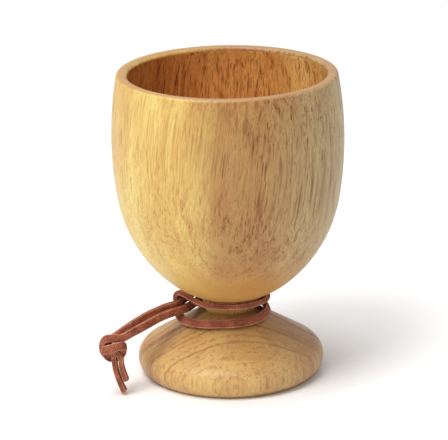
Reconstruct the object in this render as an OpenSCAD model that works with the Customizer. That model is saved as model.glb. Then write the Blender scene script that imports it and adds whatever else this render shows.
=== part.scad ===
// Turned wooden goblet with a leather lace hitched round its neck.
// Millimetres, +Z up.  The origin is the middle of the foot's resting face.

/* [Bowl] */
// Height of the rim above the resting face
rim_z = 114.4; // [94:0.2:138]
// Greatest diameter of the bowl
bowl_d = 85; // [70:0.5:102]
// Wall thickness at the rim
wall = 4; // [3.2:0.1:5]
// Edge rounding of the rim
rim_round = 1.4; // [1:0.1:1.6]
// Wood left between the socket and the bottom of the hollow
floor_t = 5.2; // [4:0.1:7]
// Radius of the long side curve
side_r = 134; // [110:1:162]
// Radius of the haunch curve under it
haunch_r = 51.5; // [48:0.5:56]
// Radius of the bottom curve
bottom_r = 36; // [33:0.5:39]
// Slope of the side, from upright, where the haunch curve begins
haunch_angle = 9.5; // [8:0.5:12]
// Slope of the side, from upright, where the bottom curve begins
bottom_angle = 50.5; // [46:0.5:54]

/* [Collar] */
// Height of the glued joint between collar and foot
joint_z = 23.8; // [19:0.1:29]
// Height of the collar, from the joint to the bowl's underside
collar_h = 5.5; // [5:0.1:7]
// Diameter of the bead round the collar
bead_d = 20.6; // [18:0.1:24]
// Radius of the bead's rounded section
bead_r = 3.4; // [3:0.1:4]
// Height of the bead's middle above the joint
bead_rise = 2.6; // [2.3:0.1:2.9]
// Depth of the waist over the bead, in from the bead's face
waist_in = 0.8; // [0.6:0.1:1]
// Radius of the cove cut between bead and bowl
cove_r = 2.3; // [2:0.1:2.6]

/* [Foot] */
// Greatest diameter of the foot
foot_d = 69; // [56:0.5:84]
// Radius of the foot's rounded edge
edge_r = 6.2; // [5.8:0.1:7.5]
// Height of the middle of the rounded edge
edge_z = 5.6; // [4.5:0.1:5.7]
// Diameter of the neck, where the foot's cone begins
neck_d = 22.2; // [20.5:0.1:26.5]
// Diameter of the foot's top at the joint
foot_top_d = 19; // [17:0.1:20]
// Diameter of the tenon glued into the collar
tenon_d = 11; // [9:0.2:13.2]
// Length of the tenon
tenon_len = 8.5; // [6:0.5:10]
// Depth of the groove cut at the joint
groove = 0.5; // [0.3:0.1:0.8]
// Glue film round the tenon
glue_gap = 0.1; // [0.05:0.01:0.15]
// Glue space over the tenon's end
glue_end = 0.5; // [0.3:0.1:1]

/* [Lace] */
// Width of the flat leather lace
lace_w = 3.2; // [2.6:0.1:3.2]
// Thickness of the lace
lace_t = 1.9; // [1.4:0.1:1.9]
// Width of the knot across the lace
knot_w = 9.4; // [8:0.2:10]
// Height of the knot
knot_h = 10; // [8:0.2:11]
// Size of the knot along its own axis
knot_deep = 8; // [7:0.2:9]

/* [Hidden] */
$fn = 96;

// The collar is a bead, a waist and a cove that runs up into the bowl's underside.
bead_mid = bead_d / 2 - bead_r;
bead_z = joint_z + bead_rise;
waist_r = bead_d / 2 - waist_in;
cove_step = 0.6;
cove_drop = 0.4;
cove_edge = waist_r + cove_step;
cove_mid = cove_edge + cove_r;
underside_z = joint_z + collar_h;
cove_z = underside_z - cove_drop;
socket_len = tenon_len + glue_end;
socket_r = tenon_d / 2 + glue_gap;

// The bowl's outline is three arcs, each tangent to the next, standing on the collar.
side_x = bowl_d / 2 - side_r;
haunch_x = side_x + (side_r - haunch_r) * cos(haunch_angle);
bottom_x = haunch_x + (haunch_r - bottom_r) * cos(bottom_angle);
bottom_c = [bottom_x, underside_z + sqrt(bottom_r * bottom_r - pow(cove_edge - bottom_x, 2))];
haunch_c = [haunch_x, bottom_c[1] + (haunch_r - bottom_r) * sin(bottom_angle)];
side_c = [side_x, haunch_c[1] + (side_r - haunch_r) * sin(haunch_angle)];

// The hollow is the side curve moved in by the wall, and a ball tangent to it.
inner_r = side_r - wall;
hollow_z = joint_z + socket_len + floor_t;
side_drop = side_c[1] - hollow_z;
ball_r = (inner_r * inner_r - side_x * side_x - side_drop * side_drop)
    / (2 * (inner_r - side_drop));
ball_z = hollow_z + ball_r;
ball_angle = atan2(side_c[1] - ball_z, -side_x);

// Rim section, rounded at both edges.
lip_z = rim_z - rim_round;
lip_outer = side_x + sqrt(side_r * side_r - pow(lip_z - side_c[1], 2));
lip_inner = side_x + sqrt(inner_r * inner_r - pow(lip_z - side_c[1], 2));

// Foot outline: a straight cone from the neck, tangent to the rounded edge.
edge_c = [foot_d / 2 - edge_r, edge_z];
neck = [neck_d / 2, joint_z - groove];
cone_fall = atan2(neck[1] - edge_z, edge_c[0] - neck[0]) - asin(edge_r / norm(edge_c - neck));

// Points along an arc, both ends included.
function arc(middle, radius, from, to, steps) = [
    for (i = [0 : steps])
        let (a = from + (to - from) * i / steps)
        middle + radius * [cos(a), sin(a)]
];
// The same arc without its first point, to carry on from another arc.
function on_arc(middle, radius, from, to, steps) = let (all = arc(middle, radius, from, to, steps)) [
    for (i = [1 : steps]) all[i]
];
// Where two circles cross, on the right of the line from the first to the second.
function crossing(c1, r1, c2, r2) =
    let (gap = norm(c2 - c1), dir = (c2 - c1) / gap)
    let (along = (r1 * r1 - r2 * r2 + gap * gap) / (2 * gap))
    c1 + along * dir + sqrt(r1 * r1 - along * along) * [dir[1], -dir[0]];
function angle_of(point, middle) = atan2(point[1] - middle[1], point[0] - middle[0]);

cove_c = [cove_mid, cove_z];
cove_end = crossing(cove_c, cove_r, bottom_c, bottom_r);
bead_foot_angle = -asin((bead_z - joint_z) / bead_r);
bead_top_angle = acos((waist_r - bead_mid) / bead_r);

bowl_outline = concat(
    [[socket_r, joint_z]],
    arc([bead_mid, bead_z], bead_r, bead_foot_angle, bead_top_angle, 10),
    arc(cove_c, cove_r, 180, angle_of(cove_end, cove_c), 10),
    on_arc(bottom_c, bottom_r, angle_of(cove_end, bottom_c), -bottom_angle, 5),
    on_arc(haunch_c, haunch_r, -bottom_angle, -haunch_angle, 16),
    on_arc(side_c, side_r, -haunch_angle, asin((lip_z - side_c[1]) / side_r), 12),
    on_arc([lip_outer - rim_round, lip_z], rim_round, 0, 90, 5),
    arc([lip_inner + rim_round, lip_z], rim_round, 90, 180, 5),
    on_arc(side_c, inner_r, asin((lip_z - side_c[1]) / inner_r), -ball_angle, 10),
    on_arc([0, ball_z], ball_r, -ball_angle, -90, 16),
    [[0, joint_z + socket_len], [socket_r, joint_z + socket_len]]
);

foot_outline = concat(
    [[0, 0]],
    arc(edge_c, edge_r, -asin(edge_z / edge_r), 90 - cone_fall, 14),
    [neck, [foot_top_d / 2, joint_z]],
    [[tenon_d / 2, joint_z], [tenon_d / 2, joint_z + tenon_len], [0, joint_z + tenon_len]]
);

// The bowl: body, rim, hollow, collar with its bead, and the socket for the foot.
module bowl() {
    color("burlywood") rotate_extrude() polygon(bowl_outline);
}

// The foot: flat below, rounded at the edge, straight cone to the joint, with its tenon.
module foot() {
    color("tan") rotate_extrude() polygon(foot_outline);
}

// Lace routes.  Each row is a point on the middle line and the direction of the lace's width.
loop_route = [
    [[-40.1, -24.8, 21.2], [0.2, -0.2, -1]],
    [[-36.5, -22.6, 22.4], [0.2, -0.2, -1]],
    [[-32.8, -19.9, 23.5], [0.2, -0.2, -1]],
    [[-29.3, -16.8, 24.4], [0.2, -0.2, -1]],
    [[-26.0, -13.4, 25.1], [0.1, -0.1, -1]],
    [[-22.2, -10.1, 25.5], [0, 0, -1]],
    [[-18.4, -6.6, 25.4], [0, 0, -1]],
    [[-15.6, -2.5, 25.1], [0, 0, -1]],
    [[-13.6, 2.2, 24.8], [-0.1, 0, -1]],
    [[-11.5, 6.8, 24.6], [-0.2, 0.1, -1]],
    [[-7.2, 11.2, 24.5], [-0.1, 0.2, -1]],
    [[-1.0, 13.4, 24.4], [0, 0.3, -1]],
    [[5.4, 12.3, 24.3], [0.1, 0.3, -1]],
    [[10.6, 8.2, 24.2], [0.3, 0.2, -1]],
    [[13.4, 2.0, 23.9], [0.5, 0, -1]],
    [[13.2, -4.5, 23.8], [0.4, -0.1, -0.9]],
    [[10.9, -9.7, 23.4], [0.4, -0.3, -0.9]],
    [[6.9, -13.3, 23.0], [0.2, -0.5, -0.9]],
    [[1.7, -15.2, 22.9], [0.1, -0.5, -0.9]],
    [[-4.4, -15.3, 22.7], [-0.1, -0.5, -0.9]],
    [[-9.8, -13.6, 22.2], [-0.3, -0.4, -0.9]],
    [[-14.0, -10.6, 21.7], [-0.4, -0.3, -0.9]],
    [[-16.9, -7.2, 21.4], [-0.5, -0.4, -0.8]],
    [[-18.6, -3.4, 21.7], [-0.6, -0.7, -0.3]],
    [[-19.7, -0.4, 23.6], [-0.5, -0.9, 0]],
    [[-19.7, 0.0, 26.4], [-0.5, -0.9, 0]],
    [[-19.8, -0.3, 29.0], [-0.5, -0.9, 0]],
    [[-18.4, -2.4, 30.7], [-0.6, -0.8, 0.2]],
    [[-15.9, -5.8, 30.3], [-0.5, -0.5, 0.7]],
    [[-12.4, -9.3, 29.2], [-0.45, -0.5, 0.75]],
    [[-8.0, -11.7, 28.7], [-0.5, -0.85, 0.4]],
    [[-2.6, -13.2, 28.7], [-0.2, -1, 0.28]],
    [[3.2, -13.0, 28.7], [0.25, -1, 0.28]],
    [[8.4, -10.7, 28.6], [0.6, -0.75, 0.3]],
    [[12.2, -6.0, 28.3], [0.8, -0.4, 0.5]],
    [[13.5, 0.0, 27.9], [0.5, 0, 0.9]],
    [[12.0, 6.2, 27.8], [0, 0, 1]],
    [[7.6, 11.1, 28.0], [0, 0, 1]],
    [[1.4, 13.4, 28.0], [0, 0, 1]],
    [[-5.2, 12.5, 28.0], [0, 0, 1]],
    [[-10.9, 8.9, 28.0], [0, 0, 1]],
    [[-15.0, 3.9, 27.9], [0, 0, 1]],
    [[-17.4, -0.6, 27.4], [0, 0, 1]],
    [[-20.0, -5.0, 27.0], [0, 0, 1]],
    [[-24.1, -8.5, 26.9], [0, 0, 1]],
    [[-27.9, -11.8, 26.4], [-0.1, 0.1, 1]],
    [[-31.5, -14.9, 25.6], [-0.2, 0.2, 1]],
    [[-35.0, -18.1, 24.6], [-0.2, 0.2, 1]],
    [[-38.5, -20.9, 23.1], [-0.2, 0.2, 1]],
    [[-41.6, -22.8, 21.5], [-0.2, 0.2, 1]]
];
knot_mid = [-43, -25, 17.6];
knot_turn = 20;
knot_swell = 0.6;
tail_long_route = [
    [[-42.5, -25.1, 14.4], [0.1, 1, 0]],
    [[-42.3, -25.2, 11.2], [0.1, 1, 0]],
    [[-41.7, -25.3, 8.0], [0.1, 1, 0]],
    [[-40.6, -25.3, 4.6], [0.1, 1, 0]],
    [[-39.2, -25.2, 1.0], [0.1, 1, 0]]
];
tail_short_route = [
    [[-40.2, -26.0, 14.4], [0.1, 1, 0]],
    [[-39.9, -26.0, 11.4], [0.1, 1, 0]],
    [[-39.3, -26.0, 8.6], [0.1, 1, 0]],
    [[-38.3, -26.0, 5.6], [0.1, 1, 0]]
];

function unit(v) = v / norm(v);
function flat(v, along) = unit(v - (v * along) * along);
function bound(list, i) = list[max(0, min(len(list) - 1, i))];
// Eight-sided section of the lace: a flat oblong with its corners taken off.
corner = lace_t / 4;
section = let (a = lace_w / 2, b = lace_t / 2, c = corner) [
    [a, b - c], [a - c, b], [c - a, b], [-a, b - c],
    [-a, c - b], [c - a, -b], [a - c, -b], [a, c - b]
];

function ring(here, along, width) = let (side = cross(along, width)) [
    for (p = section) here + p[0] * width + p[1] * side
];

// A tube of the lace's section swept along a route.
module lace(route) {
    last = len(route) - 1;
    sides = len(section);
    rings = [
        for (i = [0 : last])
            let (along = unit(bound(route, i + 1)[0] - bound(route, i - 1)[0]))
            ring(route[i][0], along, flat(route[i][1], along))
    ];
    skin = [
        for (i = [0 : last - 1], j = [0 : sides - 1])
            let (a = i * sides + j, b = i * sides + (j + 1) % sides)
            each [[a, b + sides, b], [a, a + sides, b + sides]]
    ];
    first_cap = [for (j = [0 : sides - 1]) j];
    last_cap = [for (j = [sides - 1 : -1 : 0]) last * sides + j];
    polyhedron([for (r = rings) each r], concat(skin, [first_cap, last_cap]), convexity = 10);
}

// The lace from the knot, twice round the neck through its own bight, and back to the knot.
module lace_loop() {
    color("sienna") lace(loop_route);
}

// The overhand knot in the doubled lace, as one rounded lump.
module lace_knot() {
    color("sienna")
    translate(knot_mid)
    rotate([90, 0, knot_turn])
    intersection() {
        sphere(d = knot_h + knot_swell);
        cylinder(d = knot_w, h = knot_deep, center = true);
    }
}

module lace_tail_long() {
    color("sienna") lace(tail_long_route);
}

module lace_tail_short() {
    color("sienna") lace(tail_short_route);
}

bowl();
foot();
lace_loop();
lace_knot();
lace_tail_long();
lace_tail_short();
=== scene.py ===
# %% [markdown]
# # A turned wooden goblet with a leather lace
#
# A goblet like this is two turnings glued into one: an egg-shaped bowl on a short beaded
# collar, and a round foot with a tenon.  A flat leather lace is hitched round the neck, and
# its two ends are tied together in one overhand knot.  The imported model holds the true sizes.
# This lesson gives it its looks, one piece at a time.  Pieces are written in millimetres, and MM
# turns them into the metres that the scene is built in.  Only the camera, the lamps and the
# floor are written in metres.

import math

import bpy
from mathutils import Matrix, Vector


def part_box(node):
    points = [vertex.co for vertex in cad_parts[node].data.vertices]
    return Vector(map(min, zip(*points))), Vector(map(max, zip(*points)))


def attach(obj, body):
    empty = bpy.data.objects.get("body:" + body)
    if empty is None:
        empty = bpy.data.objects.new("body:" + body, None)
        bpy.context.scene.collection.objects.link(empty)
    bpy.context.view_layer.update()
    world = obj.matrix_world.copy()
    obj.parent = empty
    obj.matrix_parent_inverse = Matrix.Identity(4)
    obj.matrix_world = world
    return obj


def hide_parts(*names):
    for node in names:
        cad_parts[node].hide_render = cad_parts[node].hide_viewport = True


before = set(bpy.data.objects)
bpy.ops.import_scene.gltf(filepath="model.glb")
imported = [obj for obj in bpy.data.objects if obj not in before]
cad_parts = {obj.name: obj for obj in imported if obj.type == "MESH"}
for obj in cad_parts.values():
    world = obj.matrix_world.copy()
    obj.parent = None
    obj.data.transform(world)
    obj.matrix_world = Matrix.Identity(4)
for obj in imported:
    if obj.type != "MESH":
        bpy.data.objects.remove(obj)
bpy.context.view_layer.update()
MM = 0.001

# %% [markdown]
# ## The camera
#
# A product is often shown through a long lens, because straight sides then stay nearly
# straight.  The camera could be aimed with a constraint, but three plain angles say more
# clearly where it looks: a turn to the side, a tilt down and a slight roll.

# %% Camera
camera_place = Vector((0.0, -0.9278, 0.3562))
camera_turn = -0.002
camera_tilt = 0.311
camera_roll = -0.015
camera_lens = 212.7
film_width = 36.0


def make_camera():
    """A camera at camera_place, turned, tilted and rolled by the three angles, in radians."""
    aim = Vector((math.sin(camera_turn) * math.cos(camera_tilt),
                  math.cos(camera_turn) * math.cos(camera_tilt),
                  -math.sin(camera_tilt)))
    level = aim.cross(Vector((0, 0, 1))).normalized()
    above = level.cross(aim)
    right = level * math.cos(camera_roll) + above * math.sin(camera_roll)
    up = above * math.cos(camera_roll) - level * math.sin(camera_roll)
    camera = bpy.data.objects.new("camera", bpy.data.cameras.new("camera"))
    camera.data.lens = camera_lens
    camera.data.sensor_width = film_width
    turn = Matrix((right, up, -aim)).transposed().to_4x4()
    camera.matrix_world = Matrix.Translation(camera_place) @ turn
    bpy.context.scene.collection.objects.link(camera)
    return camera


bpy.context.scene.camera = make_camera()
print("camera stands", round(camera_place.length, 3), "m from the foot's middle")

# %% [markdown]
# ## The lace's way round the neck
#
# The lace is one strip of leather, so it is modelled as one piece.  The rows below are the
# points that it passes and the direction of its width there, in millimetres: from the knot to
# the neck, round the back, round the front low on the foot, up through a bight behind the two
# strands, round the front again under the bowl, and back to the knot.  A simulated rope could
# find such a way by itself, but listed points put every crossing where it belongs.

# %% Route of the loop
loop_route = [
    [(-40.1, -24.8, 21.2), (0.2, -0.2, -1)],
    [(-36.5, -22.6, 22.4), (0.2, -0.2, -1)],
    [(-32.8, -19.9, 23.5), (0.2, -0.2, -1)],
    [(-29.3, -16.8, 24.4), (0.2, -0.2, -1)],
    [(-26.0, -13.4, 25.1), (0.1, -0.1, -1)],
    [(-22.2, -10.1, 25.5), (0, 0, -1)],
    [(-18.4, -6.6, 25.4), (0, 0, -1)],
    [(-15.6, -2.5, 25.1), (0, 0, -1)],
    [(-13.6, 2.2, 24.8), (-0.1, 0, -1)],
    [(-11.5, 6.8, 24.6), (-0.2, 0.1, -1)],
    [(-7.2, 11.2, 24.5), (-0.1, 0.2, -1)],
    [(-1.0, 13.4, 24.4), (0, 0.3, -1)],
    [(5.4, 12.3, 24.3), (0.1, 0.3, -1)],
    [(10.6, 8.2, 24.2), (0.3, 0.2, -1)],
    [(13.4, 2.0, 23.9), (0.5, 0, -1)],
    [(13.2, -4.5, 23.8), (0.4, -0.1, -0.9)],
    [(10.9, -9.7, 23.4), (0.4, -0.3, -0.9)],
    [(6.9, -13.3, 23.0), (0.2, -0.5, -0.9)],
    [(1.7, -15.2, 22.9), (0.1, -0.5, -0.9)],
    [(-4.4, -15.3, 22.7), (-0.1, -0.5, -0.9)],
    [(-9.8, -13.6, 22.2), (-0.3, -0.4, -0.9)],
    [(-14.0, -10.6, 21.7), (-0.4, -0.3, -0.9)],
    [(-16.9, -7.2, 21.4), (-0.5, -0.4, -0.8)],
    [(-18.6, -3.4, 21.7), (-0.6, -0.7, -0.3)],
    [(-19.7, -0.4, 23.6), (-0.5, -0.9, 0)],
    [(-19.7, 0.0, 26.4), (-0.5, -0.9, 0)],
    [(-19.8, -0.3, 29.0), (-0.5, -0.9, 0)],
    [(-18.4, -2.4, 30.7), (-0.6, -0.8, 0.2)],
    [(-15.9, -5.8, 30.3), (-0.5, -0.5, 0.7)],
    [(-12.4, -9.3, 29.2), (-0.45, -0.5, 0.75)],
    [(-8.0, -11.7, 28.7), (-0.5, -0.85, 0.4)],
    [(-2.6, -13.2, 28.7), (-0.2, -1, 0.28)],
    [(3.2, -13.0, 28.7), (0.25, -1, 0.28)],
    [(8.4, -10.7, 28.6), (0.6, -0.75, 0.3)],
    [(12.2, -6.0, 28.3), (0.8, -0.4, 0.5)],
    [(13.5, 0.0, 27.9), (0.5, 0, 0.9)],
    [(12.0, 6.2, 27.8), (0, 0, 1)],
    [(7.6, 11.1, 28.0), (0, 0, 1)],
    [(1.4, 13.4, 28.0), (0, 0, 1)],
    [(-5.2, 12.5, 28.0), (0, 0, 1)],
    [(-10.9, 8.9, 28.0), (0, 0, 1)],
    [(-15.0, 3.9, 27.9), (0, 0, 1)],
    [(-17.4, -0.6, 27.4), (0, 0, 1)],
    [(-20.0, -5.0, 27.0), (0, 0, 1)],
    [(-24.1, -8.5, 26.9), (0, 0, 1)],
    [(-27.9, -11.8, 26.4), (-0.1, 0.1, 1)],
    [(-31.5, -14.9, 25.6), (-0.2, 0.2, 1)],
    [(-35.0, -18.1, 24.6), (-0.2, 0.2, 1)],
    [(-38.5, -20.9, 23.1), (-0.2, 0.2, 1)],
    [(-41.6, -22.8, 21.5), (-0.2, 0.2, 1)],
]
tail_long_route = [
    [(-42.5, -25.1, 14.4), (0.1, 1, 0)],
    [(-42.3, -25.2, 11.2), (0.1, 1, 0)],
    [(-41.7, -25.3, 8.0), (0.1, 1, 0)],
    [(-40.6, -25.3, 4.6), (0.1, 1, 0)],
    [(-39.2, -25.2, 1.0), (0.1, 1, 0)],
]
tail_short_route = [
    [(-40.2, -26.0, 14.4), (0.1, 1, 0)],
    [(-39.9, -26.0, 11.4), (0.1, 1, 0)],
    [(-39.3, -26.0, 8.6), (0.1, 1, 0)],
    [(-38.3, -26.0, 5.6), (0.1, 1, 0)],
]
print("points:", len(loop_route), "in the loop,",
      len(tail_long_route) + len(tail_short_route), "in the tails")

# %% [markdown]
# ## The knot
#
# Both strands go through the knot together, one on top of the other, squeezed thin.  So only
# the middle line of the pair is written down, with the direction in which the outer strand
# lies.  The knot has its own axes: across, up and towards the front, in millimetres from its
# middle.  The pair goes over the top, down the left side, behind, up the right side, across
# the front as a band, in behind that band, and out below it as the two tails.  A plain ball
# would do from afar, but a real knot shows its crossings.

# %% Route of the knot
knot_mid = Vector((-43.0, -25.0, 17.6))
knot_lean = math.radians(18)
knot_squeeze = 0.80
knot_pair = [
    [(0.2, 3.7, 1.2), (0.4, 0.1, 0.9)],
    [(-2.2, 2.8, 1.4), (-0.3, 0.6, 0.8)],
    [(-3.2, 0.5, 0.2), (-0.9, 0.1, 0.5)],
    [(-2.7, -2.0, -1.4), (-0.8, -0.6, 0.1)],
    [(-0.8, -3.2, -2.9), (-0.3, -0.8, -0.5)],
    [(1.6, -2.9, -3.4), (0.4, -0.6, -0.7)],
    [(3.4, -1.1, -1.9), (0.9, -0.3, -0.3)],
    [(3.5, 0.5, 0.5), (0.9, 0.1, 0.3)],
    [(2.0, 0.7, 2.6), (0.5, 0.1, 0.9)],
    [(-0.4, 0.0, 3.1), (0, 0, 1)],
    [(-2.2, -0.5, 2.2), (-0.7, -0.1, 0.7)],
    [(-2.3, -0.8, 0.4), (-0.8, -0.1, -0.6)],
    [(-0.8, -1.0, -0.7), (-0.6, -0.2, -0.8)],
    [(0.9, -1.9, -0.3), (-1, 0, -0.2)],
]
print("knot rows:", len(knot_pair))

# %% [markdown]
# Each row of the knot becomes two points, one for each strand, half a squeezed thickness to
# either side of the middle line.

# %% The two strands of the knot
lace_width = 3.2
lace_thick = 1.9
knot_across = Vector((1, 0, 0))
knot_up = Vector((0, math.sin(knot_lean), math.cos(knot_lean)))
knot_front = Vector((0, -math.cos(knot_lean), math.sin(knot_lean)))
strand_apart = lace_thick * knot_squeeze


def knot_axes(row):
    """A place or a direction in the knot's own axes, turned into the scene's axes."""
    across, up, front = row
    return across * knot_across + up * knot_up + front * knot_front


def knot_strand(side):
    """One strand of the pair: side is 1 for the outer one and -1 for the inner one."""
    middles = [knot_mid + knot_axes(point) for point, _ in knot_pair]
    rows = []
    for i, (_, outward) in enumerate(knot_pair):
        before = middles[max(i - 1, 0)]
        after = middles[min(i + 1, len(middles) - 1)]
        along = (after - before).normalized()
        out = knot_axes(outward)
        out = (out - out.dot(along) * along).normalized()
        apart = side * 0.5 * strand_apart
        rows.append([middles[i] + apart * out, along.cross(out), knot_squeeze])
    return rows


print("points on one strand:", len(knot_strand(1)), "strands", round(strand_apart, 2), "mm apart")

# %% [markdown]
# ## One smooth line
#
# Straight hops between the points would show as kinks.  A Catmull-Rom curve goes through every
# point and turns smoothly, and the width and the squeeze are carried along in the same way.

# %% Smooth the route
ring_step = 0.6


def whole_route():
    """Every row from the long tail's tip to the short tail's, as a point, a width and a squeeze."""
    def with_squeeze(rows):
        return [[Vector(point), Vector(width), 1.0] for point, width in rows]

    out = with_squeeze(tail_long_route)[::-1] + knot_strand(1)[::-1]
    back = knot_strand(-1) + with_squeeze(tail_short_route)
    rows = out + with_squeeze(loop_route) + back
    for before, row in zip(rows, rows[1:]):
        if row[1].dot(before[1]) < 0:
            row[1] = -row[1]
    return rows


def catmull_rom(a, b, c, d, t):
    """The point a share t of the way from b to c, on a curve that also goes through a and d."""
    return 0.5 * (2 * b + (c - a) * t + (2 * a - 5 * b + 4 * c - d) * t * t
                  + (3 * b - 3 * c + d - a) * t * t * t)


def smooth(rows):
    """Rings along the smooth line, about ring_step apart."""
    last = len(rows) - 1
    rings = []
    for i in range(last):
        a, b, c, d = (rows[max(0, min(last, k))] for k in (i - 1, i, i + 1, i + 2))
        steps = max(1, round((c[0] - b[0]).length / ring_step))
        for k in range(steps):
            t = k / steps
            point = catmull_rom(a[0], b[0], c[0], d[0], t)
            width = b[1].normalized().lerp(c[1].normalized(), t)
            rings.append([point, width, b[2] + (c[2] - b[2]) * t])
    rings.append(rows[last])
    return rings


lace_rings = smooth(whole_route())

# %% [markdown]
# ## The strip
#
# A flat lace is cut from a hide, so its section is an oblong with slightly broken corners.  A
# curve with a bevel profile could sweep it, but the twist would be hard to steer.  Here each
# ring of points is placed from the line, the width and the thickness, and joined to the next.

# %% Section of the lace
corner = 0.30
corner_cuts = [(0.25, 0.9), (0.9, 0.2)]
crown = 0.06


def lace_section(half_width, half_thick):
    """Points round the strip: two of them break each corner, and the wide faces are crowned."""
    quarter = [(half_width, 0.0)]
    quarter += [(half_width - x * corner, half_thick - y * corner) for x, y in corner_cuts]
    quarter += [(0.5 * half_width, half_thick), (0.0, half_thick + crown)]
    top = quarter + [(-x, y) for x, y in quarter[-2::-1]]
    return top + [(x, -y) for x, y in top[-2:0:-1]]


lace_around = len(lace_section(0.5 * lace_width, 0.5 * lace_thick))
print("points round the lace:", lace_around)

# %% [markdown]
# A mesh is a list of points and a list of faces.  The faces here follow a simple rule: each
# point joins the next one round its ring, and the same two on the next ring.

# %% Skin helpers
def skin_between(rings, around):
    """Quads that join each ring of points to the next, and a cap at each end."""
    faces = []
    last = (rings - 1) * around
    for low in range(0, last, around):
        high = low + around
        for j in range(around):
            k = (j + 1) % around
            faces.append((low + j, low + k, high + k, high + j))
    faces.append(tuple(range(around))[::-1])
    faces.append(tuple(last + j for j in range(around)))
    return faces


def add_mesh(name, points, faces):
    """A new object in the scene, from points in metres and faces as rows of point numbers."""
    mesh = bpy.data.meshes.new(name)
    mesh.from_pydata([tuple(p) for p in points], [], faces)
    mesh.validate()
    made = bpy.data.objects.new(name, mesh)
    bpy.context.scene.collection.objects.link(made)
    return made


print("faces between two rings and their caps:", len(skin_between(2, lace_around)))

# %% [markdown]
# A strip cut by hand is never quite even.  Its width and its thickness waver by one or two
# parts in a hundred, which is too little to see by itself, and enough to look real.

# %% Sweep the lace
width_waver = 0.012
thick_waver = 0.02


def uneven(i):
    """Two waves of unlike lengths, so that the edge of the strip never seems to repeat."""
    return math.sin(i * 0.37) + 0.6 * math.sin(i * 0.83 + 1.0)


def sweep_lace(rings):
    """The whole strip, from one tail's tip to the other's."""
    points = []
    last = len(rings) - 1
    for i, (here, width, squeeze) in enumerate(rings):
        along = (rings[min(i + 1, last)][0] - rings[max(i - 1, 0)][0]).normalized()
        side = (width - width.dot(along) * along).normalized()
        out = along.cross(side)
        half_width = 0.5 * lace_width * (1 + width_waver * uneven(i))
        half_thick = 0.5 * lace_thick * squeeze * (1 + thick_waver * math.sin(i * 0.29 + 2.0))
        for x, y in lace_section(half_width, half_thick):
            points.append((here + x * side + y * out) * MM)
    return add_mesh("lace", points, skin_between(len(rings), lace_around))


lace = sweep_lace(lace_rings)
print("lace faces:", len(lace.data.polygons))

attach(lace, "lanyard")
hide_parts("lace_loop", "lace_knot", "lace_tail_long", "lace_tail_short")

# %% [markdown]
# ## Node helpers
#
# A material is a small graph.  Helpers keep the graphs short.  The first two make a material
# with nothing in it yet, and a node whose sockets are filled or linked in one go.

# %% Node helpers
def new_material(name):
    """A material with an empty graph, and that graph."""
    material = bpy.data.materials.new(name)
    material.use_nodes = True
    material.node_tree.nodes.clear()
    return material, material.node_tree


def set_socket(tree, socket, value):
    """Links the socket when the value comes from another node, and otherwise sets it."""
    if isinstance(value, bpy.types.NodeSocket):
        tree.links.new(value, socket)
    else:
        socket.default_value = value


def node(tree, kind, sockets=None, **settings):
    """A new node with its settings made and its sockets filled."""
    made = tree.nodes.new("ShaderNode" + kind)
    for name, value in settings.items():
        setattr(made, name, value)
    for name, value in (sockets or {}).items():
        set_socket(tree, made.inputs[name], value)
    return made


print("material helpers:", new_material.__name__, node.__name__)

# %% [markdown]
# The next helpers do sums: one step of arithmetic, a weighted total, a soft step from one value
# to another, and a mix of two colours.

# %% Sums and mixes
def sum_of(tree, operation, a, b=0.0):
    """One step of arithmetic on two values."""
    return node(tree, "Math", {0: a, 1: b}, operation=operation).outputs[0]


def stack(tree, weighted):
    """The total of several values, each times its weight."""
    total = 0.0
    for value, weight in weighted:
        total = sum_of(tree, "ADD", sum_of(tree, "MULTIPLY", value, weight), total)
    return total


def between(tree, value, low, high, to_low=0.0, to_high=1.0):
    """Value, spread so that low becomes to_low and high becomes to_high, with soft ends."""
    made = node(tree, "MapRange", {"Value": value, "From Min": low, "From Max": high,
                                   "To Min": to_low, "To Max": to_high})
    made.interpolation_type = "SMOOTHSTEP"
    return made.outputs["Result"]


def mix(tree, factor, a, b, blend="MIX"):
    """Colour a turned into colour b by the factor."""
    made = node(tree, "Mix", data_type="RGBA", blend_type=blend)
    factor_socket, a_socket, b_socket = made.inputs[0], made.inputs[6], made.inputs[7]
    for socket, value in ((factor_socket, factor), (a_socket, a), (b_socket, b)):
        set_socket(tree, socket, value)
    return made.outputs[2]


print("sum helpers:", sum_of.__name__, stack.__name__, between.__name__, mix.__name__)

# %% [markdown]
# Wood and leather are solid stuff, so their patterns are read from the piece's own place in
# space, not from an unwrapped picture.  One millimetre is the unit, which keeps the sizes of
# pores and fibres easy to think about.

# %% Place and noise
def millimetres(tree, lean=0.0, shift=(0, 0, 0)):
    """The piece's own coordinates in millimetres, leaning about the Y axis and shifted."""
    place = node(tree, "TexCoord").outputs["Object"]
    per_metre = 1.0 / MM
    return node(tree, "Mapping", {"Vector": place, "Scale": (per_metre, per_metre, per_metre),
                                  "Rotation": (0, lean, 0), "Location": shift}).outputs[0]


def noise(tree, place, size, stretch=(1, 1, 1), detail=2.0, roughness=0.5):
    """Soft noise whose lumps are about size millimetres across, times stretch along each axis."""
    lump = [1.0 / (size * s) for s in stretch]
    scaled = node(tree, "Mapping", {"Vector": place, "Scale": lump}, vector_type="POINT")
    made = node(tree, "TexNoise", {"Vector": scaled.outputs[0], "Scale": 1.0, "Detail": detail,
                                   "Roughness": roughness})
    return made.outputs["Fac"]


print("place helpers:", millimetres.__name__, noise.__name__)

# %% [markdown]
# ## Leather
#
# The wide faces are brushed suede: a red-brown with cloudy shading and a short nap, which is
# what the sheen gives.  Real fibres could be grown as hair, but at this size a fine noise in the
# colour and in the bump reads the same and costs little.

# %% Leather materials
cloud_size, cloud_share = 4.0, 0.35
nap_size, nap_share = 0.35, 0.65
leather_range = (0.38, 0.62)


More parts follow.
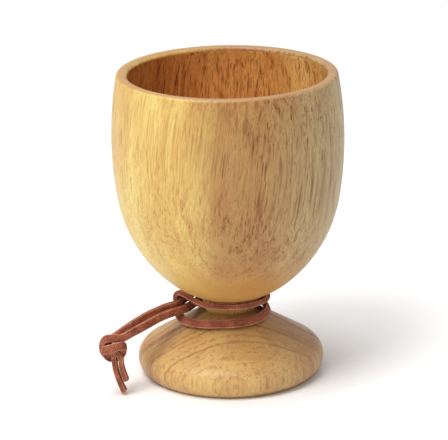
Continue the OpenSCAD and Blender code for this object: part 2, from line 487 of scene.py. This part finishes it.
def leather(name, dark, light, nap, bump_depth):
    """Brushed leather between a dark and a light tone; nap is its sheen, bump_depth is in mm."""
    material, tree = new_material(name)
    place = millimetres(tree)
    cloud = noise(tree, place, cloud_size, detail=3.0)
    fibre = noise(tree, place, nap_size, detail=4.0, roughness=0.7)
    tone = sum_of(tree, "ADD", sum_of(tree, "MULTIPLY", cloud, cloud_share),
                  sum_of(tree, "MULTIPLY", fibre, nap_share))
    colour = mix(tree, between(tree, tone, *leather_range), dark, light)
    relief = node(tree, "Bump", {"Height": fibre, "Strength": 0.6, "Distance": bump_depth * MM})
    shader = node(tree, "BsdfPrincipled", {
        "Base Color": colour, "Roughness": 0.82, "IOR": 1.42, "Specular IOR Level": 0.3,
        "Sheen Weight": nap, "Sheen Roughness": 0.5, "Sheen Tint": (0.9, 0.62, 0.5, 1),
        "Normal": relief.outputs[0]})
    node(tree, "OutputMaterial", {"Surface": shader.outputs[0]})
    return material


suede = leather("suede", dark=(0.13, 0.031, 0.015, 1), light=(0.45, 0.142, 0.074, 1),
                nap=0.05, bump_depth=0.14)
# The paler leather of the cut ends and of the worn corners, where it also paints a highlight.
worn_highlit_corner = leather("worn_highlit_corner", dark=(0.40, 0.14, 0.085, 1), light=(0.72, 0.36, 0.24, 1),
                      nap=0.07, bump_depth=0.10)
print("leather nodes:", len(suede.node_tree.nodes))

# %% [markdown]
# The corners and the cut ends get a paler leather.  At the corners it is partly wear and partly a
# painted highlight, which draws each corner as a thin light line.  The strip's faces come in the
# same order in every ring, so the four faces that break its corners are found by counting round.

# %% Dress the lace
soft_bend = math.radians(30)


def dress_lace():
    """Gives the strip its two leathers; returns how many faces get the paler one, worn and painted
    with a highlight.
    """
    lace.data.materials.append(suede)
    lace.data.materials.append(worn_highlit_corner)
    half_round = lace_around // 2
    corner_faces = {1, half_round - 2, half_round + 1, lace_around - 2}
    worn_highlit_count = 0
    for face in lace.data.polygons:
        face.use_smooth = True
        is_cut_end = len(face.vertices) > 4
        worn_highlit = is_cut_end or face.index % lace_around in corner_faces
        face.material_index = 1 if worn_highlit else 0
        worn_highlit_count += worn_highlit
    lace.data.set_sharp_from_angle(angle=soft_bend)
    return worn_highlit_count


print("worn faces:", dress_lace(), "of", len(lace.data.polygons))

# %% [markdown]
# ## Turning an outline
#
# A lathe cuts the same outline all the way round, so a turned piece is an outline of radius and
# height, spun about the axis.  The outline is made of true arcs.  Each arc meets the next at a
# shared tangent, which is what makes a turned curve look right.

# %% Outline helpers
def arc(middle, radius, start, end, step=1.0):
    """Points along an arc from angle start to angle end, in degrees, about step mm apart."""
    count = max(2, math.ceil(abs(math.radians(end - start)) * radius / step))
    angles = [math.radians(start + (end - start) * i / count) for i in range(count + 1)]
    return [(middle[0] + radius * math.cos(a), middle[1] + radius * math.sin(a)) for a in angles]


def degrees_up(point, middle):
    """The angle at which a point lies from the middle of its arc."""
    return math.degrees(math.atan2(point[1] - middle[1], point[0] - middle[0]))


def tidy(outline, nearest=0.02):
    """The outline without points that repeat the one before."""
    kept = [outline[0]]
    for point in outline[1:]:
        if math.dist(point, kept[-1]) > nearest:
            kept.append(point)
    return kept


print("points on a quarter turn of 10 mm:", len(arc((0, 0), 10.0, 0, 90)))

# %% [markdown]
# Blender's Screw modifier could spin the outline, too.  Doing it in a few lines of code gives a
# mesh that is closed with one point on the axis at each end, with no seam.  Edges that turn by
# more than a soft bend stay crisp, such as where the outline meets the glue joint.

# %% Lathe
lathe_steps = 160
crisp_edge = math.radians(32)


def ring_of(radius, height, around):
    """One ring of points, from a radius and a height in millimetres."""
    ring = []
    for j in range(around):
        a = 2 * math.pi * j / around
        ring.append((radius * MM * math.cos(a), radius * MM * math.sin(a), height * MM))
    return ring


def turn(name, outline, around=lathe_steps):
    """Spins an outline that starts and ends on the axis, in millimetres, into a closed mesh."""
    inner = outline[1:-1]
    points = [(0.0, 0.0, outline[0][1] * MM)]
    for radius, height in inner:
        points += ring_of(radius, height, around)
    points.append((0.0, 0.0, outline[-1][1] * MM))
    faces = []
    top = len(points) - 1
    last = top - around
    for j in range(around):
        k = (j + 1) % around
        faces.append((0, 1 + k, 1 + j))
        for low in range(1, last, around):
            high = low + around
            faces.append((low + j, low + k, high + k, high + j))
        faces.append((last + j, last + k, top))
    made = add_mesh(name, points, faces)
    for face in made.data.polygons:
        face.use_smooth = True
    made.data.set_sharp_from_angle(angle=crisp_edge)
    return made


print("one step of the lathe turns", 360.0 / lathe_steps, "degrees")

# %% [markdown]
# ## The bowl
#
# The outside is a long side curve, a tighter haunch and a round bottom, which stand on a collar
# with a bead and a cove.  It could be modelled by pushing points about until it looks right, but
# radii and angles can be read, checked and changed.  The widest radius, the rim and the joint
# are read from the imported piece, and every arc's middle is worked out from them.

# %% Bowl sizes
bowl_low, bowl_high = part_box("bowl")
rim_z = bowl_high.z / MM
joint_z = bowl_low.z / MM
bowl_r = bowl_high.x / MM
wall = 4.0
rim_round = 1.4
side_r, haunch_r, bottom_r = 134.0, 51.5, 36.0
haunch_angle, bottom_angle = 9.5, 50.5
collar_high = 5.5
bead_face, bead_r, bead_up = 10.3, 3.4, 2.6
waist_in = 0.8
cove_r, cove_out, cove_down = 2.3, 0.6, 0.4
print("bowl:", round(2 * bowl_r, 1), "mm across,", round(rim_z, 1), "mm high")

# %% [markdown]
# Two arcs meet smoothly when their middles lie on one line through the point where they meet.
# So each middle here is the last one, moved along that line by the difference of the radii.

# %% Middles of the bowl's arcs
underside_z = joint_z + collar_high
bead_mid = (bead_face - bead_r, joint_z + bead_up)
waist_r = bead_face - waist_in
cove_edge = waist_r + cove_out
cove_mid = (cove_edge + cove_r, underside_z - cove_down)
side_x = bowl_r - side_r
haunch_x = side_x + (side_r - haunch_r) * math.cos(math.radians(haunch_angle))
bottom_x = haunch_x + (haunch_r - bottom_r) * math.cos(math.radians(bottom_angle))
bottom_z = underside_z + math.sqrt(bottom_r ** 2 - (cove_edge - bottom_x) ** 2)
haunch_z = bottom_z + (haunch_r - bottom_r) * math.sin(math.radians(bottom_angle))
side_z = haunch_z + (side_r - haunch_r) * math.sin(math.radians(haunch_angle))
print("the bowl is widest at", round(side_z, 1), "mm up")

# %% [markdown]
# The inside is the same side curve moved in by the wall, and a ball that ends it with its lowest
# point a little above the socket.  The ball touches the side curve, and its radius follows from
# that alone.

# %% Bowl hollow
socket_r, socket_deep = 5.6, 9.0
floor_wood = 5.2
socket_top = joint_z + socket_deep
hollow_z = socket_top + floor_wood
inner_r = side_r - wall
drop = side_z - hollow_z
ball_r = (inner_r ** 2 - side_x ** 2 - drop ** 2) / (2 * (inner_r - drop))
ball_z = hollow_z + ball_r
ball_angle = math.degrees(math.atan2(side_z - ball_z, -side_x))
lip_z = rim_z - rim_round
lip_rise = lip_z - side_z
lip_outer = side_x + math.sqrt(side_r ** 2 - lip_rise ** 2)
lip_inner = side_x + math.sqrt(inner_r ** 2 - lip_rise ** 2)
print("hollow:", round(rim_z - hollow_z, 1), "mm deep")

# %% [markdown]
# The cove is a small hollow arc between the bead and the bowl, cut with the nose of a gouge.  It
# runs until it crosses the bottom curve, so that crossing is worked out first.

# %% Outside of the bowl
fine_step = 0.3


def cove_meets_bottom():
    """Where the cove's circle crosses the bottom curve, on the outside."""
    gap = math.dist(cove_mid, (bottom_x, bottom_z))
    to_x = (bottom_x - cove_mid[0]) / gap
    to_z = (bottom_z - cove_mid[1]) / gap
    along = (cove_r ** 2 - bottom_r ** 2 + gap ** 2) / (2 * gap)
    off = math.sqrt(cove_r ** 2 - along ** 2)
    return (cove_mid[0] + along * to_x + off * to_z, cove_mid[1] + along * to_z - off * to_x)


def bowl_outside():
    """From the socket's roof, down and out round the collar, and up to the rim."""
    meet = cove_meets_bottom()
    bottom_mid = (bottom_x, bottom_z)
    bead_start = -math.degrees(math.asin((bead_mid[1] - joint_z) / bead_r))
    bead_end = math.degrees(math.acos((waist_r - bead_mid[0]) / bead_r))
    side_end = math.degrees(math.asin(lip_rise / side_r))
    outside = [(0.0, socket_top), (socket_r, socket_top), (socket_r, joint_z)]
    outside += arc(bead_mid, bead_r, bead_start, bead_end, fine_step)
    outside += arc(cove_mid, cove_r, 180, degrees_up(meet, cove_mid), fine_step)
    outside += arc(bottom_mid, bottom_r, degrees_up(meet, bottom_mid), -bottom_angle)
    outside += arc((haunch_x, haunch_z), haunch_r, -bottom_angle, -haunch_angle)
    outside += arc((side_x, side_z), side_r, -haunch_angle, side_end)
    return tidy(outside)


print("outside points:", len(bowl_outside()))

# %% [markdown]
# The rim is rounded over on both edges with sandpaper, so two small arcs carry the outline from
# the outside to the inside.  The whole outline is then spun in one pass, as on the lathe.

# %% Turn the bowl
rim_step = 0.2


def bowl_rim():
    """Over the rim, from the outside to the inside."""
    side_end = math.degrees(math.asin(lip_rise / side_r))
    rim = arc((lip_outer - rim_round, lip_z), rim_round, side_end, 90, rim_step)
    rim += arc((lip_inner + rim_round, lip_z), rim_round, 90, 180, rim_step)
    return tidy(rim)


def bowl_inside():
    """Down the inside, to the lowest point of the hollow, which lies on the axis."""
    inner_end = math.degrees(math.asin(lip_rise / inner_r))
    inside = arc((side_x, side_z), inner_r, inner_end, -ball_angle)
    inside += arc((0.0, ball_z), ball_r, -ball_angle, -90)
    inside = tidy(inside)
    inside[-1] = (0.0, hollow_z)
    return inside


bowl = turn("turned_bowl", tidy(bowl_outside() + bowl_rim() + bowl_inside()))
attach(bowl, "goblet")
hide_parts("bowl")
print("bowl faces:", len(bowl.data.polygons))

# %% [markdown]
# ## The foot
#
# The foot is a straight cone that runs out into a rounded edge.  Its tenon goes up into the
# collar's socket with a film of glue round it, so it is turned in the same pass.  A cone and a
# ring could be joined by a Boolean, but one outline leaves no seam where they meet.

# %% Turn the foot
foot_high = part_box("foot")[1]
foot_r = foot_high.x / MM
edge_r, edge_z = 6.2, 5.6
edge_x = foot_r - edge_r
cone_top = (11.1, joint_z - 0.5)
glue_face_r = 9.5
tenon_r = 5.5
tenon_top = foot_high.z / MM
edge_step = 0.5


def foot_outline():
    """From the underside, round the edge, up the cone and over the tenon."""
    to_edge = math.atan2(cone_top[1] - edge_z, edge_x - cone_top[0])
    cone_fall = math.degrees(to_edge - math.asin(edge_r / math.dist(cone_top, (edge_x, edge_z))))
    under = -math.degrees(math.asin(edge_z / edge_r))
    outline = [(0.0, 0.0)] + arc((edge_x, edge_z), edge_r, under, 90 - cone_fall, edge_step)
    outline += [cone_top, (glue_face_r, joint_z)]
    outline += [(tenon_r, joint_z), (tenon_r, tenon_top), (0.0, tenon_top)]
    return tidy(outline)


foot = turn("turned_foot", foot_outline())
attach(foot, "goblet")
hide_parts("foot")
print("foot:", round(2 * foot_r, 1), "mm across, faces:", len(foot.data.polygons))

# %% [markdown]
# ## Wood
#
# Wood is solid, so its figure is built in space and the turned surface cuts through it.  Where
# the cut runs along the grain, the vessels show as dark dashes.  Where it runs across, at the
# rim and the bottom, the same vessels show as dots.  Growth layers lie round a far-off pith,
# and make bands.  A flat picture of wood would stretch over a round bowl, and noise in space
# never does.

# %% Growth layers
drift_size, drift_stretch = 30.0, (1, 1, 2.5)


def layer_place(tree, place, pith, waver):
    """How far each spot lies from the pith across the layers, in millimetres, with a slow waver."""
    parts = node(tree, "SeparateXYZ", {"Vector": place})
    away = node(tree, "CombineXYZ", {
        "X": sum_of(tree, "SUBTRACT", parts.outputs["X"], pith[0]),
        "Y": sum_of(tree, "SUBTRACT", parts.outputs["Y"], pith[1])}).outputs[0]
    length = node(tree, "VectorMath", {0: away}, operation="LENGTH").outputs["Value"]
    drift = noise(tree, place, drift_size, drift_stretch)
    return sum_of(tree, "ADD", length, sum_of(tree, "MULTIPLY", drift, waver))


def layers(tree, where, per_mm, detail=2.0):
    """Paler and darker layers that follow one another, about per_mm of them in a millimetre."""
    scaled = sum_of(tree, "MULTIPLY", where, per_mm)
    made = node(tree, "TexNoise", {"W": scaled, "Scale": 1.0, "Detail": detail},
                noise_dimensions="1D")
    return made.outputs["Fac"]


print("layer helpers:", layer_place.__name__, layers.__name__)

# %% [markdown]
# Three noises, stretched along the grain, and two sets of layers are all that the wood's marks
# are made from.  Each noise has a size across the grain in millimetres, a stretch along it, and
# a fineness.

# %% Grain
grain_noises = {
    "cloud": (11.0, (1, 1, 4), 3.0),
    "stripe": (1.3, (1, 1, 26), 3.0),
    "fibre": (0.35, (1, 1, 30), 2.0),
}
layers_per_mm = {"wide": 0.10, "thin": 0.7}


def wood_grain(tree, place, pith, waver):
    """The patterns of the wood at each spot, by name."""
    where = layer_place(tree, place, pith, waver)
    grain = {name: layers(tree, where, per_mm) for name, per_mm in layers_per_mm.items()}
    for name, (size, stretch, detail) in grain_noises.items():
        grain[name] = noise(tree, place, size, stretch, detail)
    return grain


print("patterns:", list(layers_per_mm) + list(grain_noises))

# %% [markdown]
# The ground runs from a pale to a middle tone in broad soft patches.  Deeper streaks lie on it
# where thin layers and stripes meet.

# %% Ground colour
patch_weights = {"wide": 0.45, "cloud": 0.45, "stripe": 0.10}
ground_range = (0.40, 0.60)
stripe_range = (0.48, 0.66)
thin_range = (0.32, 0.58)
streak_strength = 0.85


def ground_colour(tree, grain, tones, crowding):
    """The wood's colour before its vessels are drawn."""
    pale, middle, deep, _ = tones
    patches = stack(tree, [(grain[name], weight) for name, weight in patch_weights.items()])
    colour = mix(tree, between(tree, patches, *ground_range), pale, middle)
    streak = sum_of(tree, "MULTIPLY", between(tree, grain["stripe"], *stripe_range),
                    between(tree, grain["thin"], *thin_range))
    streak = sum_of(tree, "MULTIPLY", streak, crowding)
    return mix(tree, sum_of(tree, "MULTIPLY", streak, streak_strength), colour, deep)


print("streaks begin at", stripe_range[0], "of the stripe noise")

# %% [markdown]
# Vessels are the tree's water pipes.  Cut along their length they are thin dark dashes, and a
# short slanting cut leaves a speck.  They crowd together in some layers and are rare in others.

# %% Vessels
crowd_weights = {"cloud": 0.55, "thin": 0.45}
crowd_range = (0.38, 0.58)
fewest_dashes = 0.1
dash_long, dash_range = 20, (0.60, 0.645)
speck_long, speck_range = 9, (0.60, 0.66)
speck_size, speck_strength = 0.65, 0.5


def open_vessels(tree, place, grain, pore, crowding):
    """1 in a vessel and 0 beside it; pore is the vessels' width in millimetres."""
    crowd = stack(tree, [(grain[name], weight) for name, weight in crowd_weights.items()])
    crowd = between(tree, crowd, *crowd_range, fewest_dashes, 1.0)
    dashes = noise(tree, place, pore, (1, 1, dash_long), 1.0)
    dashes = between(tree, dashes, *dash_range)
    specks = noise(tree, place, speck_size * pore, (1, 1, speck_long), 1.0)
    specks = between(tree, specks, *speck_range)
    vessels = sum_of(tree, "MAXIMUM", sum_of(tree, "MULTIPLY", dashes, crowd),
                     sum_of(tree, "MULTIPLY", specks, speck_strength))
    return sum_of(tree, "MULTIPLY", vessels, crowding)


print("dashes are", dash_long, "times as long as wide")

# %% [markdown]
# The ground, the vessels and a breath of fine fibre make the whole figure.

# %% Wood figure
vessel_strength = 0.88
fibre_range = (0.34, 0.62)
fibre_strength = 0.34


def wood_figure(tree, place, pith, waver, tones, pore, crowding=1.0):
    """Colour, vessels and fibre of the wood at each spot."""
    deep, vessel_colour = tones[2:]
    grain = wood_grain(tree, place, pith, waver)
    colour = ground_colour(tree, grain, tones, crowding)
    vessels = open_vessels(tree, place, grain, pore, crowding)
    colour = mix(tree, sum_of(tree, "MULTIPLY", vessels, vessel_strength), colour, vessel_colour)
    fibre = grain["fibre"]
    colour = mix(tree, between(tree, fibre, *fibre_range, fibre_strength, 0.0), colour, deep)
    return colour, vessels, fibre


print("vessels cover", vessel_strength, "of the ground's colour")

# %% [markdown]
# The goblet is rubbed with oil, which leaves a soft shine on the wood and none in its pores.
# Varnish would be a stronger coat.  A tint comes in gradually along an axis.  It carries the
# wood's own change of colour from one side to the other, and painted light and painted shade
# where they fall.  A tone of end grain comes in where the surface faces up or down.

# %% Oil and tints
fibre_relief = 0.25
pore_depth = 0.08
pore_dullness = 0.15


def finish_wood(tree, colour, vessels, fibre, dullness):
    """Oiled wood, evenly dull, and duller in its fine open pores."""
    grain = sum_of(tree, "SUBTRACT", sum_of(tree, "MULTIPLY", fibre, fibre_relief), vessels)
    relief = node(tree, "Bump", {"Height": grain, "Strength": 0.35, "Distance": pore_depth * MM})
    roughness = sum_of(tree, "ADD", sum_of(tree, "MULTIPLY", vessels, pore_dullness), dullness)
    shader = node(tree, "BsdfPrincipled", {
        "Base Color": colour, "Roughness": roughness, "IOR": 1.45, "Coat Weight": 0.10,
        "Coat Roughness": 0.35, "Normal": relief.outputs[0]})
    node(tree, "OutputMaterial", {"Surface": shader.outputs[0]})


def tinted(tree, colour, tints):
    """The colour times each tint, which comes in from start to full along an axis, in mm."""
    for axis, start, full, tint in tints:
        parts = node(tree, "SeparateXYZ", {"Vector": millimetres(tree)})
        share = between(tree, parts.outputs[axis], start, full)
        colour = mix(tree, share, colour, tint, "MULTIPLY")
    return colour


def end_grain(tree, colour, upright, start, full, strength, tone):
    """A tone that comes in as the surface tilts; upright is 1 facing up and -1 facing down."""
    return mix(tree, between(tree, upright, start, full, 0.0, strength), colour, tone)


print("finish helpers:", finish_wood.__name__, tinted.__name__, end_grain.__name__)

# %% [markdown]
# ## The bowl's wood
#
# The bowl was turned with the grain standing up, a little off upright.  It is yellow on the
# left, browner in the middle and cooler on the right, partly in its own colour and partly as
# painted shade on the side away from the key lamp.  The bead on its collar is painted paler:
# painted light where the bowl and the lace shade it.  The rim is dull end grain, and the bottom,
# where the gouge cut across the fibres, is an even orange-brown with fewer marks.

# %% Bowl wood
# Tones are the pale ground, the middle ground, the streaks and the vessels.  Tints are an axis,
# where they start and where they are full along it, and a colour to multiply by.
bowl_tones = ((0.79, 0.61, 0.180, 1), (0.69, 0.44, 0.118, 1), (0.45, 0.195, 0.042, 1),
              (0.19, 0.065, 0.020, 1))
bowl_pith, bowl_waver, bowl_pore = (30, -230), 14.0, 0.52
bowl_lean = math.radians(-7)
bowl_dullness = 0.44
bowl_hue_and_painted_light = [
    # Darker right of the middle: partly the wood's own browner colour, partly painted shade.
    ("X", -20.0, 0.0, (0.61, 0.44, 0.43, 1)),
    # Cooler and greyer on the right: partly the wood's own colour, partly painted shade.
    ("X", 4.0, 38.0, (1.06, 1.50, 2.30, 1)),
    # Paler below about 30 mm up: painted light on the collar's bead, where the bowl and the lace
    # shade it.
    ("Z", 31.0, 28.5, (1.55, 1.70, 1.70, 1)),
]
# End grain: how upright the surface is where it starts and is full, its strength and its tone.
rim_grain = (0.60, 0.97, 0.8, (0.42, 0.232, 0.105, 1))
bottom_grain = (-0.40, -0.85, 0.6, (0.62, 0.33, 0.095, 1))
# Crowding of the marks: from and to, and how crowded they are at each.
left_crowding = (-24.0, 2.0, 0.5, 1.0)
under_crowding = (-0.25, -0.75, 1.0, 0.45)


def bowl_crowding(tree, place, upright):
    """Fewer marks on the left of the bowl, and fewer where it faces down."""
    across = node(tree, "SeparateXYZ", {"Vector": place}).outputs["X"]
    return sum_of(tree, "MULTIPLY", between(tree, across, *left_crowding),
                  between(tree, upright, *under_crowding))


def make_bowl_wood():
    material, tree = new_material("bowl_wood")
    place = millimetres(tree, bowl_lean)
    facing = node(tree, "NewGeometry").outputs["Normal"]
    upright = node(tree, "SeparateXYZ", {"Vector": facing}).outputs["Z"]
    colour, vessels, fibre = wood_figure(tree, place, bowl_pith, bowl_waver, bowl_tones,
                                         bowl_pore, bowl_crowding(tree, place, upright))
    colour = tinted(tree, colour, bowl_hue_and_painted_light)
    colour = end_grain(tree, colour, upright, *rim_grain)
    colour = end_grain(tree, colour, upright, *bottom_grain)
    finish_wood(tree, colour, vessels, fibre, bowl_dullness)
    return material


bowl_wood = make_bowl_wood()
print("bowl wood nodes:", len(bowl_wood.node_tree.nodes))

# %% [markdown]
# The hollow is the same block of wood, so it keeps the same pith and pores.  It gets tones of its
# own, redder and deeper than the outside: painted shade, and the painted red glow of light that
# bounces between its walls.

# %% Hollow wood
hollow_shaded_tones = ((0.86, 0.45, 0.130, 1), (0.74, 0.32, 0.078, 1), (0.36, 0.12, 0.024, 1),
                (0.12, 0.035, 0.010, 1))
hollow_lean, hollow_shift = math.radians(-3), (7, 3, 0)
hollow_dullness = 0.5
hollow_light_and_shade = [
    # Paler and less red towards the right: a painted pool of light on the wall that faces the key
    # lamp.
    ("X", 4.0, 34.0, (1.04, 1.30, 1.40, 1)),
    # Darker towards the left: a painted shadow that the rim casts on the left wall.
    ("X", -8.0, -36.0, (0.66, 0.56, 0.48, 1)),
]


def make_hollow_shaded_wood():
    material, tree = new_material("hollow_shaded_wood")
    place = millimetres(tree, hollow_lean, hollow_shift)
    colour, vessels, fibre = wood_figure(tree, place, bowl_pith, bowl_waver, hollow_shaded_tones,
                                         bowl_pore)
    colour = tinted(tree, colour, hollow_light_and_shade)
    finish_wood(tree, colour, vessels, fibre, hollow_dullness)
    return material


hollow_shaded_wood = make_hollow_shaded_wood()
print("hollow wood nodes:", len(hollow_shaded_wood.node_tree.nodes))

# %% [markdown]
# ## The foot's wood
#
# The foot comes from another block, with smaller pores and layers that cross it as dark curved
# lines.  Noise alone would put such lines anywhere, so each has its own place here: how far
# forward or back it crosses, half its width in millimetres, and how strong it is.

# %% Foot wood
foot_tones = ((0.72, 0.475, 0.165, 1), (0.63, 0.36, 0.122, 1), (0.40, 0.16, 0.055, 1),
              (0.20, 0.070, 0.028, 1))
foot_pith, foot_waver, foot_pore = (37, -250), 5.0, 0.32
foot_crowding = 0.6
foot_dullness = 0.42
foot_tints = [
    ("X", 0.0, 34.0, (0.83, 0.84, 1.0, 1)),
    ("X", -24.0, -35.0, (0.78, 0.68, 0.64, 1)),
]
foot_lines = [
    (-19.6, 0.8, 0.60),
    (-16.8, 0.4, 0.3),
    (-12.0, 0.9, 0.60),
    (-9.4, 0.5, 0.4),
    (-5.0, 0.9, 0.5),
    (-0.8, 3.2, 0.95),
    (5.0, 1.3, 0.6),
    (10.2, 1.0, 0.5),
    (15.0, 1.4, 0.5),
]
line_colour = (0.26, 0.115, 0.055, 1)
line_slope, line_waver = -0.15, 2.0
line_patches = (0.36, 0.60, 0.45, 1.0)


def draw_foot_lines(tree, place, colour):
    """The colour with the dark layer lines drawn over it, wavering and broken into patches."""
    parts = node(tree, "SeparateXYZ", {"Vector": place})
    waver = noise(tree, place, 9.0, (1, 1, 3), 2.0)
    where = stack(tree, ((parts.outputs["Y"], 1.0), (parts.outputs["X"], line_slope),
                         (waver, line_waver)))
    patchy = between(tree, noise(tree, place, 3.0, (1, 1, 3), 3.0), *line_patches)
    for middle, half, strength in foot_lines:
        away = sum_of(tree, "ABSOLUTE", sum_of(tree, "SUBTRACT", where, middle))
        line = sum_of(tree, "MULTIPLY", between(tree, away, half, 0.0, 0.0, strength), patchy)
        colour = mix(tree, line, colour, line_colour)
    return colour


def make_foot_wood():
    material, tree = new_material("foot_wood")
    place = millimetres(tree)
    colour, vessels, fibre = wood_figure(tree, place, foot_pith, foot_waver, foot_tones,
                                         foot_pore, foot_crowding)
    colour = tinted(tree, colour, foot_tints)
    colour = draw_foot_lines(tree, place, colour)
    finish_wood(tree, colour, vessels, fibre, foot_dullness)
    return material


foot_wood = make_foot_wood()
print("foot wood nodes:", len(foot_wood.node_tree.nodes), "layer lines:", len(foot_lines))

# %% [markdown]
# The bowl is one mesh with two woods, the outside's and the hollow's copy with its painted shade,
# so each face is asked whether it lies inside.  It does when it is nearer the axis than the
# middle of the wall at its height.  The two woods could be two objects, but then the rim would
# need a seam.

# %% Dress the wood
floor_margin = 0.5
ball_margin = 1.5


def mid_wall(height):
    """The radius of the middle of the wall at a height, in millimetres."""
    if height < ball_z:
        return math.sqrt(max(0.0, (ball_r + ball_margin) ** 2 - (height - ball_z) ** 2))
    return side_x + math.sqrt(max(0.0, (side_r - wall / 2) ** 2 - (height - side_z) ** 2))


def dress_wood():
    """Gives the bowl and the foot their woods; returns how many faces line the hollow."""
    bowl.data.materials.append(bowl_wood)
    bowl.data.materials.append(hollow_shaded_wood)
    foot.data.materials.append(foot_wood)
    inside_count = 0
    for face in bowl.data.polygons:
        radius = math.hypot(face.center.x, face.center.y) / MM
        height = face.center.z / MM
        in_hollow = hollow_z - floor_margin < height < lip_z
        inside = in_hollow and radius < mid_wall(height)
        face.material_index = 1 if inside else 0
        inside_count += inside
    return inside_count


print("hollow faces:", dress_wood(), "of", len(bowl.data.polygons))

# %% [markdown]
# ## Floor and light
#
# The goblet stands on white paper.  A large soft key lamp from the upper left shapes it, a wider
# one overhead lights the rim and the hollow, and a weak one low on the left lifts the shade
# under the bowl.  A pale sky fills the rest.  One hard lamp would be simpler, but its shadow
# would have a sharp edge.

# %% Floor
floor_half = 6.0
floor_gap = 0.0002


def make_floor():
    """A sheet of white paper, a hair below the foot."""
    corners = [(-floor_half, -floor_half, 0), (floor_half, -floor_half, 0),
               (floor_half, floor_half, 0), (-floor_half, floor_half, 0)]
    floor = add_mesh("floor", corners, [(0, 1, 2, 3)])
    floor.location.z = -floor_gap
    material, tree = new_material("floor_paper")
    shader = node(tree, "BsdfPrincipled", {"Base Color": (0.93, 0.93, 0.93, 1), "Roughness": 0.9,
                                           "Specular IOR Level": 0.0})
    node(tree, "OutputMaterial", {"Surface": shader.outputs[0]})
    floor.data.materials.append(material)


make_floor()
print("floor:", 2 * floor_half, "m wide")

# %% [markdown]
# Each lamp is a round panel, with a name, a place in metres, a width and a power in watts.  A
# wider panel makes a softer shadow.

# %% Lamps and sky
lamps = [
    ("key", (-0.55, -0.6, 1.35), 0.75, 11.9),
    ("top", (-0.15, 0.0, 1.5), 1.0, 11.1),
    ("left", (-1.1, -0.7, 0.6), 0.8, 2.0),
]
lamp_aim = Vector((0, 0, 0.06))
sky_strength = 0.5


def make_lamp(name, place, size, power):
    """A round panel that faces the goblet's middle."""
    lamp = bpy.data.objects.new(name, bpy.data.lights.new(name, "AREA"))
    lamp.data.shape = "DISK"
    lamp.data.size = size
    lamp.data.energy = power
    lamp.location = place
    lamp.rotation_mode = "QUATERNION"
    lamp.rotation_quaternion = (lamp_aim - Vector(place)).to_track_quat("-Z", "Y")
    bpy.context.scene.collection.objects.link(lamp)


def make_sky(strength):
    world = bpy.data.worlds.new("sky")
    bpy.context.scene.world = world
    world.use_nodes = True
    background = world.node_tree.nodes["Background"]
    background.inputs["Color"].default_value = (1, 1, 1, 1)
    background.inputs["Strength"].default_value = strength


for name, place, size, power in lamps:
    make_lamp(name, place, size, power)
make_sky(sky_strength)
bpy.context.scene.view_settings.view_transform = "Standard"
print("lamps:", [name for name, *_ in lamps])
